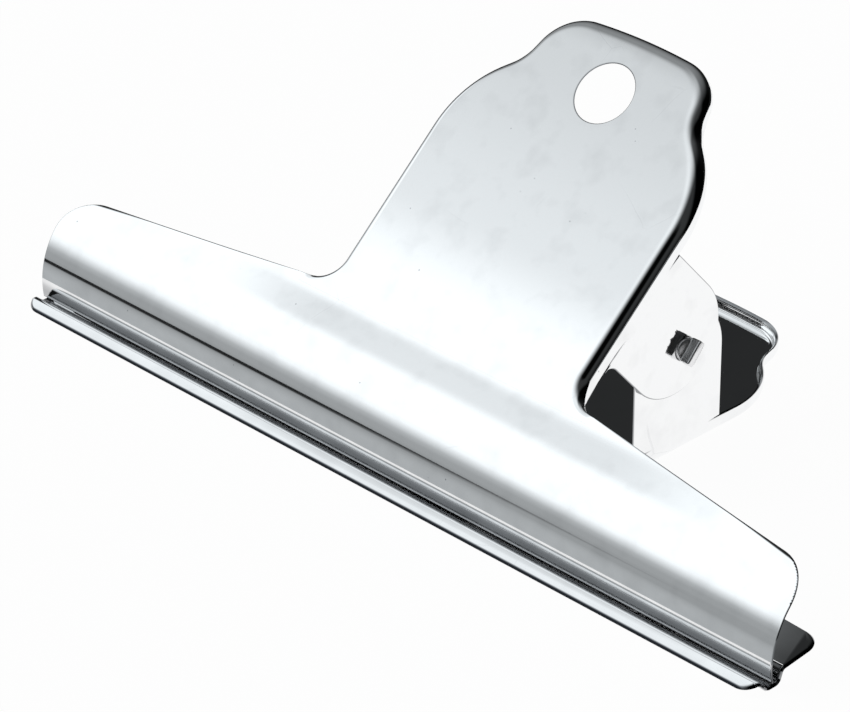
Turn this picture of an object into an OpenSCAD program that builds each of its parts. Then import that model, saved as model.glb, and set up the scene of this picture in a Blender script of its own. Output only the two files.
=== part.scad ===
// Bulldog clip: two stamped plates that turn on a pin and are held shut by a torsion spring.
// The pin runs along X and the jaws face -Y. The clip lies on its back plate, as on a table,
// and the origin is on the table under the middle of the clip.

/* [Sheet] */
// Thickness of the plated steel sheet
wall = 0.7; // [0.5:0.05:0.9]
// Outside radius of the bend between the front handle's face and its flange
bend_r = 2; // [1.4:0.1:2.6]
// Depth of the flange round the front handle, from its outer face
flange_d = 3; // [2.8:0.1:4]
// Outside radius of the bend between the back handle's face and its flange
back_bend_r = 1.2; // [1:0.1:1.6]
// Depth of the flange round the back handle, from its outer face
back_flange_d = 2.4; // [2.2:0.1:3.4]

/* [Jaws] */
// Length of the jaws
jaw_l = 145; // [110:1:170]
// Outside radius of the front jaw's curve
jaw_r = 12.7; // [11:0.1:14]
// Distance along the front plate from the pin to the centre of the jaw's curve
jaw_back = 26.2; // [25:0.1:30]
// Angle that the front plate turns through in the jaw's curve
jaw_turn = 73; // [68:1:76]
// Straight run at the front jaw's gripping edge
nip_l = 0.8; // [0.4:0.1:1.4]
// Distance from the pin to the bend between the front handle and its wings
wing_back = 19.2; // [18.9:0.1:20]
// Angle at which the front wings lift out of the handle's face
wing_lift = 17; // [14:0.5:20]
// Radius of the soft bend between the handle's face and the wings
wing_bend_r = 9; // [5:0.5:11]
// Angle between the front wings' rear edge and the pin
wing_slope = 6.6; // [5:0.1:8]
// Radius of the front wings' corners
wing_corner_r = 6.5; // [5:0.1:8]

/* [Back wings] */
// Distance from the pin to the foot of the ramp between the back handle and its wings
ramp_at = 19; // [18.8:0.1:19.6]
// Length of the ramp
ramp_l = 3.7; // [3.4:0.1:4.4]
// Height of the ramp
ramp_h = 3; // [2.6:0.1:3.3]
// Radius of the bends at the ramp's foot and top
ramp_bend_r = 3; // [2:0.1:3.2]
// Distance from the pin to the back wings' rear edge, beside the handle
back_wing_at = 23; // [22.4:0.1:24]
// Angle between the back wings' rear edge and the pin
back_wing_slope = 2.6; // [1:0.1:4]
// Radius between the handle's side and the wings' rear edge
back_fillet_r = 3; // [2:0.1:4]
// Radius of the back wings' corners
back_corner_r = 3; // [2:0.1:4]

/* [Groove and lip] */
// Depth of the groove from the wing behind it
groove_d = 1.9; // [1.5:0.05:2.2]
// Flat width of the groove's bottom
groove_w = 1.7; // [1.5:0.05:2.2]
// Run of the groove's rear wall
groove_rear = 0.7; // [0.4:0.05:1]
// Run of the groove's front wall
groove_front = 1.5; // [1.3:0.05:2]
// Height of the lip's crest over the groove's bottom
crest_h = 1.4; // [1.2:0.05:1.8]
// Length of the lip in front of its crest
lip_l = 2.1; // [1.8:0.1:3]
// Fall of the lip from its crest to its free edge
lip_fall = 0.8; // [0.4:0.05:1.2]
// Radius of the lip's corners
lip_corner_r = 2.9; // [1.5:0.1:3]
// Gap between the shut jaw's edge and the groove's bottom
nip_gap = 0.15; // [0.1:0.01:0.3]

/* [Handles] */
// Distance from the pin to the front handle's outer face
handle_gap = 15.6; // [14:0.1:17]
// Distance from the pin to the back handle's outer face, which lies on the table
back_gap = 17.2; // [16:0.1:18]
// Half the width across the front handle's sides
half_w = 24.1; // [22:0.1:26]
// Distance from the pin back to the front plate's notch, and to where the back flange runs out
notch_back = 17.1; // [16:0.1:17.4]
// Radius of the notch between the front handle and its wings
notch_r = 4.5; // [3.6:0.1:5]
// Length over which the back handle's flange rises from the flat sheet
fade_l = 6; // [4.5:0.1:6.2]
// Distance from the pin to the start of the shoulder
side_end = 10.6; // [9.6:0.1:14]
// Radius of the shoulder
shoulder_r = 17.5; // [15:0.1:20]
// Angle of the shoulder
shoulder_turn = 46; // [42:1:50]
// Straight run between shoulder and neck
shoulder_run = 1.1; // [0.6:0.1:2]
// Radius of the neck
neck_r = 6.8; // [5:0.1:9]
// Angle of the neck
neck_turn = 32; // [26:1:38]
// Straight run between neck and crown corner
neck_run = 1.2; // [0.6:0.1:2]
// Radius of the crown's corners
crown_r = 7.8; // [6:0.1:9]
// Angle of the crown's corners
crown_turn = 71.5; // [66:0.5:74]
// Diameter of the hanging hole
hole_d = 9.5; // [7:0.1:11]
// Distance from the pin to the hanging hole, along the handle
hole_at = 24.8; // [23:0.1:27]

/* [Ears and pin] */
// Width of the ears
ear_w = 18; // [16:0.1:19]
// Distance from the pin to the ear's round end
ear_reach = 6; // [5.5:0.1:7.5]
// Radius of the corner between an ear's front edge and the flange
ear_fillet_r = 2; // [1:0.1:2.4]
// Gap between the front plate's ears and the back plate's ears
ear_gap = 0.25; // [0.2:0.01:0.35]
// Diameter of the pin
pin_d = 3.4; // [2.8:0.1:3.5]
// Gap between the pin and its holes, on the radius
pin_fit = 0.05; // [0.03:0.01:0.08]
// Length of round shank outside each front ear
pin_stub = 0.7; // [0.5:0.1:1.6]
// Length of the flattened end
blade_l = 1.6; // [1.4:0.1:2.6]
// Width of the flattened end
blade_w = 3.8; // [3.7:0.1:4.6]
// Thickness of the flattened end
blade_t = 1.4; // [1:0.1:1.8]
// Angle of the flattened end above the table
blade_turn = 47; // [0:1:90]

/* [Spring] */
// Diameter of the spring's wire
wire_d = 1.9; // [1.5:0.05:2.1]
// Radius of the coil, to the middle of the wire
coil_r = 4; // [3.6:0.1:5]
// Whole turns of the coil
coil_turns = 9; // [5:1:12]
// Gap between neighbouring turns
coil_gap = 0.5; // [0.45:0.01:0.7]
// Distance along the handles from the pin to the spring's feet
leg_at = 17; // [14:0.5:18]
// Length of the feet that lie across the handles
foot_l = 13; // [6:0.5:16]
// Radius of the bend between leg and foot
foot_r = 2.6; // [2:0.1:4]
// Gap between the feet and the handles
foot_gap = 0.2; // [0.15:0.01:0.3]

/* [Hidden] */

// Overrun of the cuts, and overlap of the pin's shank and flattened ends
over = 1;
lap = 0.4;
// Radii of the bends in the back jaw, on its upper face
groove_bend_r = 0.6;
crest_r = 1.1;
// Facets of a bend, of an outline's arc, of the jaw's curve and of true circles
bend_facets = 4;
arc_facets = 7;
jaw_facets = 18;
$fn = 64;
// Sides of the spring's wire, rings of one turn and rings of one bend
wire_sides = 6;
coil_rings = 8;
foot_rings = 3;

// The back plate's ears stand inside the front plate's ears
nest = wall + ear_gap;
// Each plate's form: half width, distance from the pin to the handle's outer face, depth of the
// flange, radius of its bend, and width of the flat rim where the flange has run out
front_form = [half_w, handle_gap, flange_d, bend_r,
    wing_back - wing_bend_r * tan(wing_lift / 2) - notch_back];
back_form = [half_w - nest, back_gap, back_flange_d, back_bend_r, back_bend_r];

// Right half of each handle's outline
front_half = handle_half(front_form[0], [[notch_r, -90]], notch_r - notch_back,
    [half_w + notch_r, -notch_back, 180]);
back_half = handle_half(back_form[0], [for (k = [1:arc_facets]) [fade_l / arc_facets, 0]],
    fade_l - notch_back, [back_form[0], -notch_back, 90]);

// Jaw's curve, on the front plate's outer face, in the plate's own frame
jaw_centre = [-jaw_back, handle_gap + (jaw_back - wing_back) * tan(wing_lift) - jaw_r / cos(wing_lift)];
nip_turn = jaw_turn - wing_lift;
jaw_apex = jaw_centre + jaw_r / cos(jaw_turn / 2)
    * [-sin(nip_turn - jaw_turn / 2), cos(nip_turn - jaw_turn / 2)];
nip = jaw_centre + jaw_r * [-sin(nip_turn), cos(nip_turn)] - nip_l * [cos(nip_turn), sin(nip_turn)];

// The groove lies where the shut jaw's edge comes down, at the nip's own radius from the pin
groove_z = wall - back_gap;
seat_z = groove_z + nip_gap;
seat_y = -sqrt(nip.x * nip.x + nip.y * nip.y - seat_z * seat_z);
groove_at = seat_y + wall / 2;
front_turn = atan2(nip.y, -nip.x) + atan2(-seat_z, -seat_y);

// The clip rests on the back handle's face and on the groove's outside. The origin is midway
// between the lip's free edge and the handle's end
pin_h = back_gap;
lip_edge = [groove_at - groove_w / 2 - groove_front - lip_l, groove_z + crest_h - lip_fall];
crown_y = front_half[len(front_half) - 1].y;
pin_y = -(lip_edge.x + crown_y) / 2;

function reversed(list) = [for (i = [len(list) - 1:-1:0]) list[i]];
function unit(v) = v / norm(v);

// A walk gives [x, y, heading] along straight runs [length, 0] and arcs [radius, turn to the left]
function walk(steps, at, i = 0) = i == len(steps) ? [at] :
    let (r = steps[i][0], turn = steps[i][1], h = at[2], side = sign(turn),
         n = turn == 0 ? 1 : arc_facets,
         c = [at.x - side * r * sin(h), at.y + side * r * cos(h)],
         stops = [for (k = [1:n]) turn == 0
             ? [at.x + r * cos(h), at.y + r * sin(h), h]
             : let (a = h + turn * k / n) [c.x + side * r * sin(a), c.y - side * r * cos(a), a]])
    concat([at], [for (k = [0:1:n - 2]) stops[k]], walk(steps, stops[n - 1], i + 1));

// Right half of a handle's outline, from its first steps round to the middle of the crown
function handle_half(w, first, first_end, at) =
    let (drawn_in = (half_w - w) / (1 - cos(shoulder_turn)),
         sides = walk(concat(first, [[side_end + drawn_in * sin(shoulder_turn) - first_end, 0],
             [shoulder_r - drawn_in, shoulder_turn], [shoulder_run, 0], [neck_r, -neck_turn],
             [neck_run, 0], [crown_r, crown_turn]]), at),
         last = sides[len(sides) - 1], turn = 180 - last[2])
    concat(sides, [for (k = [1:2]) let (r = last.x / sin(turn), a = last[2] + turn * k / 2)
        [last.x - r * (sin(last[2]) - sin(a)), last.y + r * (cos(last[2]) - cos(a)), a]]);
function outline(half) = concat(half,
    [for (i = [len(half) - 2:-1:0]) [-half[i].x, half[i].y, 360 - half[i][2]]]);
function inset(p, d) = [p.x - d * sin(p[2]), p.y + d * cos(p[2])];

// Sections of the rim, as [inset from the outline, depth under the face]: bent into a flange round
// the handle, and flat where it runs out into the wings
function bent_rim(r, depth) = concat(
    [for (k = [0:bend_facets]) let (a = 90 * k / bend_facets) r * [1 - sin(a), 1 - cos(a)]],
    [[0, depth], [wall, depth]],
    [for (k = [bend_facets:-1:0]) let (a = 90 * k / bend_facets)
        [r - (r - wall) * sin(a), r - (r - wall) * cos(a)]]);
function flat_rim(run) = [for (depth = [0, wall], k = [0:bend_facets + 1])
    [run * abs((depth == 0 ? 1 : 0) - k / (bend_facets + 1)), depth]];

// Share of the full bend at one point of the outline, growing from nothing at either end
function bend_share(i, n) = (1 - cos(180 * min(1, min(i, n - 1 - i) / arc_facets))) / 2;

// Rim of a handle, from where the flange begins round to where it ends
module rim(form, half) {
    line = outline(half);
    bend = bent_rim(form[3], form[2]);
    flat = flat_rim(form[4]);
    n = len(line);
    m = len(bend);
    points = [for (i = [0:n - 1], j = [0:m - 1])
        let (t = bend_share(i, n), s = (1 - t) * flat[j] + t * bend[j])
        concat(inset(line[i], s.x), form[1] - s.y)];
    skin = [for (i = [0:n - 2], j = [0:m - 1], t = [0, 1])
        let (a = i * m + j, b = i * m + (j + 1) % m) t == 0 ? [a, a + m, b + m] : [a, b + m, b]];
    ends = [for (j = [0:m / 2 - 2], k = [0, (n - 1) * m])
        let (quad = [j, j + 1, m - 2 - j, m - 1 - j]) [for (q = k == 0 ? quad : reversed(quad)) k + q]];
    polyhedron(points, concat(skin, ends));
}

// Plan of a plate's sheet inside the rim: the handle's flat face, the wings and the jaw. The edge
// leads from the rim's end to the wing's rear edge, which then runs out to a rounded corner
module sheet_plan(form, half, edge, slope, corner_r) {
    line = outline(half);
    n = len(line);
    face = [for (i = [0:n - 1])
        let (t = bend_share(i, n), p = inset(line[i], (1 - t) * form[4] + t * form[3])) [p.x, p.y]];
    root = edge[len(edge) - 1];
    corner_x = jaw_l / 2 - corner_r;
    corner_y = root.y - (corner_x - root.x) * tan(slope) - corner_r / cos(slope);
    wing = concat([for (p = edge) [p.x, p.y]],
        [for (k = [0:arc_facets]) let (a = (90 - slope) * (1 - k / arc_facets))
            [corner_x + corner_r * cos(a), corner_y + corner_r * sin(a)]],
        [[jaw_l / 2, lip_edge.x - over]]);
    polygon(concat(wing, [for (p = reversed(wing)) [-p.x, p.y]], reversed(face)));
}

// Points of one face of a bent sheet: a path with rounded corners, moved to its left by w
function bent(path, radii, w, facets) = [for (i = [0:len(path) - 1])
    let (last = len(path) - 1,
         d0 = unit(path[max(i, 1)] - path[max(i, 1) - 1]),
         d1 = unit(path[min(i, last - 1) + 1] - path[min(i, last - 1)]))
    each i == 0 || i == last ? [path[i] + w * [-d0.y, d0.x]] :
        let (turn = asin(d0.x * d1.y - d0.y * d1.x), s = sign(turn), r = radii[i - 1],
             start = path[i] - r * tan(abs(turn) / 2) * d0,
             c = start + s * r * [-d0.y, d0.x], h = atan2(d0.y, d0.x))
        [for (k = [0:facets]) let (a = h + turn * k / facets)
            c + (s * r - w) * [sin(a), -cos(a)]]];

// A plate's sheet, bent along the given path and cut to its plan
module sheet(path, radii, facets) intersection() {
    rotate([90, 0, 90]) linear_extrude(jaw_l, center = true)
        polygon(concat(bent(path, radii, 0, facets), reversed(bent(path, radii, wall, facets))));
    translate([0, 0, -2 * back_gap]) linear_extrude(4 * back_gap) children();
}

// Tab with a round end that hangs from the flange and takes the pin
module ear(form, x) {
    r = ear_w / 2;
    end_z = r - ear_reach;
    flange_z = form[1] - form[2];
    top_z = form[1] - form[3];
    round_end = [for (k = [0:2 * arc_facets]) let (a = 90 * k / arc_facets)
        [-r * cos(a), end_z - r * sin(a)]];
    fillet = [for (k = [0:bend_facets]) let (a = 90 * k / bend_facets)
        [-r - ear_fillet_r * (1 - sin(a)), flange_z - ear_fillet_r * (1 - cos(a))]];
    translate([x, 0, 0]) rotate([90, 0, 90]) linear_extrude(wall)
        polygon(concat(fillet, round_end, [[r, top_z], [fillet[0].x, top_z]]));
}

// Rim and ears in the plate's own frame: the pin at the origin, the handle's outer face up
module rim_and_ears(form, half) {
    rim(form, half);
    ear(form, form[0] - wall);
    ear(form, -form[0]);
}
module plate_holes(form) {
    translate([0, hole_at, form[1] - wall - over]) cylinder(h = wall + 2 * over, d = hole_d);
    rotate([0, 90, 0]) cylinder(h = 2 * half_w + 2 * over, r = pin_d / 2 + pin_fit, center = true);
}

front_path = [[crown_y, handle_gap], [-wing_back, handle_gap], jaw_apex, nip];
// The back plate's jaw is drawn from above, so it is turned over after the handle is
back_path = [
    [crown_y, groove_z],
    [-ramp_at, groove_z],
    [-ramp_at - ramp_l, groove_z + ramp_h],
    [groove_at + groove_w / 2 + groove_rear, groove_z + groove_d],
    [groove_at + groove_w / 2, groove_z],
    [groove_at - groove_w / 2, groove_z],
    [groove_at - groove_w / 2 - groove_front, groove_z + crest_h],
    lip_edge];
back_radii = [ramp_bend_r, ramp_bend_r, crest_r, groove_bend_r, groove_bend_r, crest_r];
back_edge = walk([[back_wing_at - back_fillet_r - notch_back, 0], [back_fillet_r, 90 - back_wing_slope]],
    [back_form[0], -notch_back, 270]);

module at_pin() translate([0, pin_y, pin_h]) children();

module front_plate() color("lightsteelblue") at_pin() rotate([front_turn, 0, 0]) difference() {
    union() {
        rim_and_ears(front_form, front_half);
        sheet(front_path, [wing_bend_r, jaw_r], jaw_facets)
            sheet_plan(front_form, front_half, [front_half[0]], wing_slope, wing_corner_r);
    }
    plate_holes(front_form);
}

// Cuts that round the lip's two corners
module lip_corners() for (side = [0, 1]) mirror([side, 0, 0])
    translate([jaw_l / 2 - lip_corner_r, lip_edge.x + lip_corner_r, lip_edge.y - over - wall])
        linear_extrude(crest_h + 2 * over) difference() {
            translate([0, -lip_corner_r - over]) square(lip_corner_r + over);
            circle(lip_corner_r);
        }

module back_plate() color("silver") at_pin() difference() {
    union() {
        mirror([0, 0, 1]) rim_and_ears(back_form, back_half);
        sheet(back_path, back_radii, bend_facets)
            sheet_plan(back_form, back_half, back_edge, back_wing_slope, back_corner_r);
    }
    mirror([0, 0, 1]) plate_holes(back_form);
    lip_corners();
}

// Round rod with both ends flattened, so that it can't slide out
module pivot_pin() color("gainsboro") at_pin() {
    shank = half_w + pin_stub;
    rotate([0, 90, 0]) cylinder(h = 2 * shank, d = pin_d, center = true);
    for (side = [0, 1]) mirror([side, 0, 0]) rotate([blade_turn, 0, 0])
        translate([shank - lap, -blade_w / 2, -blade_t / 2]) cube([blade_l + lap, blade_w, blade_t]);
}

// The spring's wire, as rings [point, outward direction]: a foot and leg on the back handle,
// the coil, and a leg and foot on the front handle
coil_pitch = wire_d + coil_gap;
back_foot = [leg_at, back_gap - wall - foot_gap - wire_d / 2];
front_foot = [leg_at, handle_gap - wall - foot_gap - wire_d / 2];
// Angle at the pin from the handle's own direction to the leg's start on the coil
function leg_angle(foot) = atan2(foot.y, foot.x) + acos(coil_r / norm(foot));
coil_start = -leg_angle(back_foot);
coil_end = front_turn + leg_angle(front_foot) - 360 * (coil_turns + 1);
coil_l = coil_pitch * (coil_start - coil_end) / 360;
coil_steps = round(coil_rings * (coil_start - coil_end) / 360);

function ring_out(a) = [0, cos(a), sin(a)];
coil = [for (k = [0:coil_steps]) let (a = coil_start + (coil_end - coil_start) * k / coil_steps)
    [[coil_l * (k / coil_steps - 1 / 2), 0, 0] + coil_r * ring_out(a), ring_out(a)]];
// A leg leaves the coil along the ring's tangent and bends into a foot towards the middle
function leg(ring, side, foot) =
    let (out = ring[1], along = side * [0, -out.z, out.y], in = [side, 0, 0],
         leg_l = sqrt(foot * foot - coil_r * coil_r),
         corner = ring[0] + (leg_l - foot_r) * along)
    concat([for (k = [0:foot_rings]) let (a = 90 * k / foot_rings)
            [corner + foot_r * (sin(a) * along + (1 - cos(a)) * in), out]],
        [[corner + foot_r * along + (foot_r + foot_l) * in, out]]);
first_leg = leg(coil[0], 1, back_foot);
last_leg = leg(coil[coil_steps], -1, front_foot);
wire = concat(reversed(first_leg), coil, last_leg);

wire_gap = min([for (i = [0:len(wire) - 1], j = [i + coil_rings / 2:1:len(wire) - 1])
    norm(wire[i][0] - wire[j][0])]) - wire_d;
echo(str("least gap of the spring's wire to itself, mm: ", wire_gap));

module torsion_spring() color("dimgray") at_pin() {
    n = len(wire);
    points = [for (i = [0:n - 1])
        let (t = unit(wire[min(i + 1, n - 1)][0] - wire[max(i - 1, 0)][0]),
             u = unit(wire[i][1] - (wire[i][1] * t) * t), v = cross(t, u))
        each [for (k = [0:wire_sides - 1]) let (a = 360 * k / wire_sides)
            wire[i][0] + wire_d / 2 * (cos(a) * u + sin(a) * v)]];
    skin = [for (i = [0:n - 2], k = [0:wire_sides - 1], t = [0, 1])
        let (a = i * wire_sides + k, b = i * wire_sides + (k + 1) % wire_sides)
        t == 0 ? [a, a + wire_sides, b] : [b, a + wire_sides, b + wire_sides]];
    caps = [[for (k = [0:wire_sides - 1]) k],
            [for (k = [wire_sides - 1:-1:0]) (n - 1) * wire_sides + k]];
    polyhedron(points, concat(skin, caps));
}

front_plate();
back_plate();
pivot_pin();
torsion_spring();
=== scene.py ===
"""Bulldog clip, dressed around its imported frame: two bright plates, a pin and a torsion spring."""
import math

import bmesh
import bpy
from bpy.props import FloatProperty, FloatVectorProperty, IntProperty, PointerProperty
from mathutils import Matrix, Vector, geometry


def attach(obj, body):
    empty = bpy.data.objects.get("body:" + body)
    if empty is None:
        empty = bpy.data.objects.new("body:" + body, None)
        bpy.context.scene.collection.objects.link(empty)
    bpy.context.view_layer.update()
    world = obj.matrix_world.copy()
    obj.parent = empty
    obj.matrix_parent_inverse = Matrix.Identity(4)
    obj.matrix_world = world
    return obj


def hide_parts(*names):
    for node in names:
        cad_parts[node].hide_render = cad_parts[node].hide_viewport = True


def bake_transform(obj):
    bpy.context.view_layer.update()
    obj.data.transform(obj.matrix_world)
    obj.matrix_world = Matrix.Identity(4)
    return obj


bl_info = {
    "name": "Bulldog clip",
    "version": (1, 0, 0),
    "blender": (4, 5, 0),
    "location": "View3D > Sidebar > Clip",
    "description": "Makes a wide bulldog clip: its plates, pin and spring, and a small studio",
    "category": "Add Mesh",
}

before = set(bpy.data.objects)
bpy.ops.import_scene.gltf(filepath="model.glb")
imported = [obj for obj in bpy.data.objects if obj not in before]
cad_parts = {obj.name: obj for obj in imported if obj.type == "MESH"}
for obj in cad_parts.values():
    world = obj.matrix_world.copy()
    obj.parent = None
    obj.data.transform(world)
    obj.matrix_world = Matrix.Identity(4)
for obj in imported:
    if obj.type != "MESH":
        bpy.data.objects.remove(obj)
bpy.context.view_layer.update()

QUARTER = math.pi / 2

# Points closer than MERGE are one, and TINY keeps a quotient from growing without end
MERGE, TINY = 2e-6, 1e-9
# Width of the narrow row of faces along an edge, and the share of it that the rounding may take
SUPPORT, ROUND_SHARE = 2.6e-4, 0.77
# How far up the normal of a level face points, at least
LEVEL = 0.999
# Angles from which an edge of the sheet or the pin stays hard
HARD_SHEET, HARD_PIN = math.radians(42), math.radians(60)

# Counts of faces: round the pin, the wire and a hole, and along one turn of the coil
PIN_SIDES, WIRE_SIDES, HOLE_SIDES, COIL_STEPS = 64, 20, 64, 40
# Counts of faces along the handle's outline
NOTCH_STEPS, FADE_STEPS, SHOULDER_STEPS = 20, 12, 16
NECK_STEPS, CROWN_STEPS, TOP_STEPS = 12, 24, 10
# Counts of faces along bends, the ears and their fillets, and the wings' corners
BEND_STEPS, EAR_STOPS, FILLET_STEPS = 12, 6, 10
EAR_STEPS, CORNER_STEPS, LIP_STEPS = 48, 20, 16

# The pin's ends: width of their rounding, squareness of the flat, and step of the squeezed part
PIN_SOFT, PIN_SQUARE, PIN_STEP = 1.2e-4, 7, 1.0e-4

# Colours that aren't set by the user: the near-black of the plates' painted shade and painted
# reflection, the soft light, and plain white
PAINTED_SHADE, COOL, WHITE = (0.03, 0.035, 0.045, 1), (0.93, 0.975, 1, 1), (1, 1, 1, 1)
# Half the width of a hairline and the radius of a speck, in cells of their patterns
HAIRLINE, SPECK = 0.004, 0.055

# The camera: its axes, its place from the pin, and its lens; and the lamp's place, size and power
CAMERA_RIGHT, CAMERA_UP = (0.70116, 0.71300, 0), (-0.35474, 0.34885, 0.86745)
CAMERA_AT, SENSOR_MM, LENS_MM = (0.40496, -0.42507, 0.32552), 36, 200.336
LAMP_AT, LAMP_SIZE, LAMP_WATTS = (-0.5, -0.35, 0.9), 0.7, 3.0
# The floor: half its side, and how far it lies under the clip
FLOOR_HALF, FLOOR_DROP = 0.26, 1e-5
# Direction of the tent's dark opening, where the camera looks in
OPENING_TOWARDS = (0.61849, -0.60822, 0.49753)
# Shades of the tent, from straight below at 0 to straight above at 1
TENT = [(0.0, 0.45), (0.46, 0.42), (0.50, 0.36), (0.545, 0.37), (0.585, 0.48), (0.625, 0.78),
        (0.66, 1.05), (0.70, 1.16), (1.0, 1.16)]
# Painted shade from the jaw's gripping edge upwards; and from the lip's free edge over the groove,
# painted reflection on the lip and painted shade in the groove
JAW_PAINTED_SHADE = [(0.0, 0.75), (0.15, 0.75), (0.2, 0.5), (0.34, 0.5), (0.46, 0.62), (0.56, 0.85),
            (0.9, 1.0)]
LIP_PAINTED_SHADE = [(0.0, 0.8), (0.03, 0.7), (0.04, 0.05), (0.055, 0.05), (0.075, 0.78), (0.3, 0.85),
            (0.36, 0.5), (0.6, 0.55), (0.9, 1.0)]


def length(label, millimetres, about):
    """A length that the user may change, given in millimetres and kept in metres."""
    return FloatProperty(name=label, description=about, default=millimetres / 1000, min=0,
                         unit="LENGTH", precision=5)


def angle(label, degrees, about):
    """An angle that the user may change, given in degrees and kept in radians."""
    return FloatProperty(name=label, description=about, default=math.radians(degrees),
                         subtype="ANGLE")


def tint(label, rgb, about):
    """A colour that the user may change."""
    return FloatVectorProperty(name=label, description=about, default=rgb, min=0, max=1,
                               size=3, subtype="COLOR")


class SheetSizes(bpy.types.PropertyGroup):
    wall: length("Sheet", 0.7, "Thickness of the steel sheet")
    edge: length("Edge", 0.2, "Width of the rounding of the sheet's stamped edges")
    jaw_l: length("Jaws", 145, "Length of the jaws")
    half_w: length("Half width", 24.1, "Half the width across the front handle's sides")
    nest: length("Nest", 0.95, "How far the back plate's sides stand inside the front plate's")
    plain: length("Plain edge", 3, "Length of unrounded edge beside the flanges' ends")
    pin_y: length("Pin y", 2.31081, "Distance of the pin behind the clip's middle")
    pin_z: length("Pin z", 17.2, "Height of the pin over the table")
    front_turn: angle("Front turn", 41.302, "Angle of the front handle at rest")


class HandleSizes(bpy.types.PropertyGroup):
    start: length("Flange end", 17.1, "Distance from the pin back to where the flanges run out")
    notch_r: length("Notch", 4.5, "Radius of the notch between the front handle and its wings")
    fade: length("Fade", 6, "Length over which the back handle's flange rises")
    side_end: length("Side end", 10.6, "Distance from the pin to the start of the shoulder")
    shoulder_r: length("Shoulder", 17.5, "Radius of the shoulder")
    shoulder_turn: angle("Shoulder turn", 46, "Angle of the shoulder")
    shoulder_run: length("Shoulder run", 1.1, "Straight run between shoulder and neck")
    neck_r: length("Neck", 6.8, "Radius of the neck")
    neck_turn: angle("Neck turn", 32, "Angle of the neck")
    neck_run: length("Neck run", 1.2, "Straight run between neck and crown corner")
    crown_r: length("Crown corner", 7.8, "Radius of the crown's corners")
    crown_turn: angle("Crown turn", 71.5, "Angle of the crown's corners")
    hole_r: length("Hole radius", 4.75, "Radius of the hanging hole")
    hole_at: length("Hole place", 24.8, "Distance from the pin to the hanging hole")
    ear_r: length("Ear radius", 9, "Radius of an ear's round end")
    ear_reach: length("Ear reach", 6, "Distance from the pin to the ear's round end")
    ear_fillet: length("Ear fillet", 2, "Radius between an ear's front edge and the flange")
    pin_hole_r: length("Pin hole", 1.75, "Radius of the ears' holes")


class FrontSizes(bpy.types.PropertyGroup):
    gap: length("Face", 15.6, "Distance from the pin to the handle's outer face")
    flange: length("Flange", 3, "Depth of the flange from the handle's face")
    bend_r: length("Flange bend", 2, "Outside radius of the flange's bend")
    flat: length("Flat rim", 0.755, "Width of the rim where the flange has run out")
    wing_at: length("Wing bend", 19.2, "Distance from the pin to the wings' bend")
    wing_lift: angle("Wing lift", 17, "Angle between the handle's face and the wings")
    wing_bend_r: length("Soft bend", 9, "Radius of the wings' bend")
    slope: angle("Wing slope", 6.6, "Angle between the wings' rear edge and the pin")
    corner_r: length("Wing corner", 6.5, "Radius of the wings' corners")
    jaw_r: length("Jaw radius", 12.7, "Outside radius of the jaw's curve")
    jaw_at: length("Jaw centre", 26.2, "Distance from the pin to the centre of the jaw's curve")
    jaw_turn: angle("Jaw turn", 73, "Angle of the jaw's curve")
    nip: length("Nip", 0.8, "Straight run at the jaw's gripping edge")


class BackSizes(bpy.types.PropertyGroup):
    gap: length("Face", 17.2, "Distance from the pin to the handle's outer face")
    flange: length("Flange", 2.4, "Depth of the flange from the handle's face")
    bend_r: length("Flange bend", 1.2, "Outside radius of the flange's bend")
    ramp_at: length("Ramp", 19, "Distance from the pin to the ramp's foot")
    ramp_l: length("Ramp length", 3.7, "Length of the ramp")
    ramp_h: length("Ramp height", 3, "Height of the ramp")
    ramp_r: length("Ramp bends", 3, "Radius of the bends at the ramp's foot and top")
    wing_at: length("Wing edge", 23, "Distance from the pin back to the wings' rear edge")
    slope: angle("Wing slope", 2.6, "Angle between the wings' rear edge and the pin")
    fillet_r: length("Wing fillet", 3, "Radius between the handle's side and the wings' edge")
    corner_r: length("Wing corner", 3, "Radius of the wings' corners")
    groove_at: length("Groove", 34.7715, "Distance from the pin to the groove's middle")
    groove_d: length("Groove depth", 1.9, "Depth of the groove from the wing behind it")
    groove_w: length("Groove width", 1.7, "Flat width of the groove's bottom")
    groove_rear: length("Rear wall", 0.7, "Run of the groove's rear wall")
    groove_front: length("Front wall", 1.5, "Run of the groove's front wall")
    groove_r: length("Groove bends", 0.6, "Radius of the bends at the groove's bottom")
    crest_r: length("Crest bends", 1.1, "Radius of the bends at the groove's edges")
    crest_h: length("Crest", 1.4, "Height of the lip's crest over the groove's bottom")
    lip_l: length("Lip", 2.1, "Length of the lip in front of its crest")
    lip_fall: length("Lip fall", 0.8, "Fall of the lip to its free edge")
    lip_corner_r: length("Lip corner", 2.9, "Radius of the lip's corners")


class PinSizes(bpy.types.PropertyGroup):
    radius: length("Pin radius", 1.7, "Radius of the pin")
    shank: length("Shank", 24.8, "Half the length of the round shank")
    blade_l: length("Flat", 1.6, "Length of a flattened end")
    blade_w: length("Flat width", 3.8, "Width of a flattened end")
    blade_t: length("Flat thickness", 1.4, "Thickness of a flattened end")
    blade_turn: angle("Flat turn", 47, "Angle of the flattened ends above the table")


class SpringSizes(bpy.types.PropertyGroup):
    wire_r: length("Wire radius", 0.95, "Radius of the spring's wire")
    coil_r: length("Coil radius", 4, "Radius of the coil, to the middle of the wire")
    turns: IntProperty(name="Turns", description="Whole turns of the coil", default=9, min=1)
    pitch: length("Pitch", 2.4, "Distance between neighbouring turns")
    leg_at: length("Feet", 17, "Distance along the handles from the pin to the feet")
    foot_l: length("Foot", 13, "Length of the feet that lie across the handles")
    foot_r: length("Foot bend", 2.6, "Radius of the bend between leg and foot")
    foot_gap: length("Foot gap", 0.2, "Gap between the feet and the handles")


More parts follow.
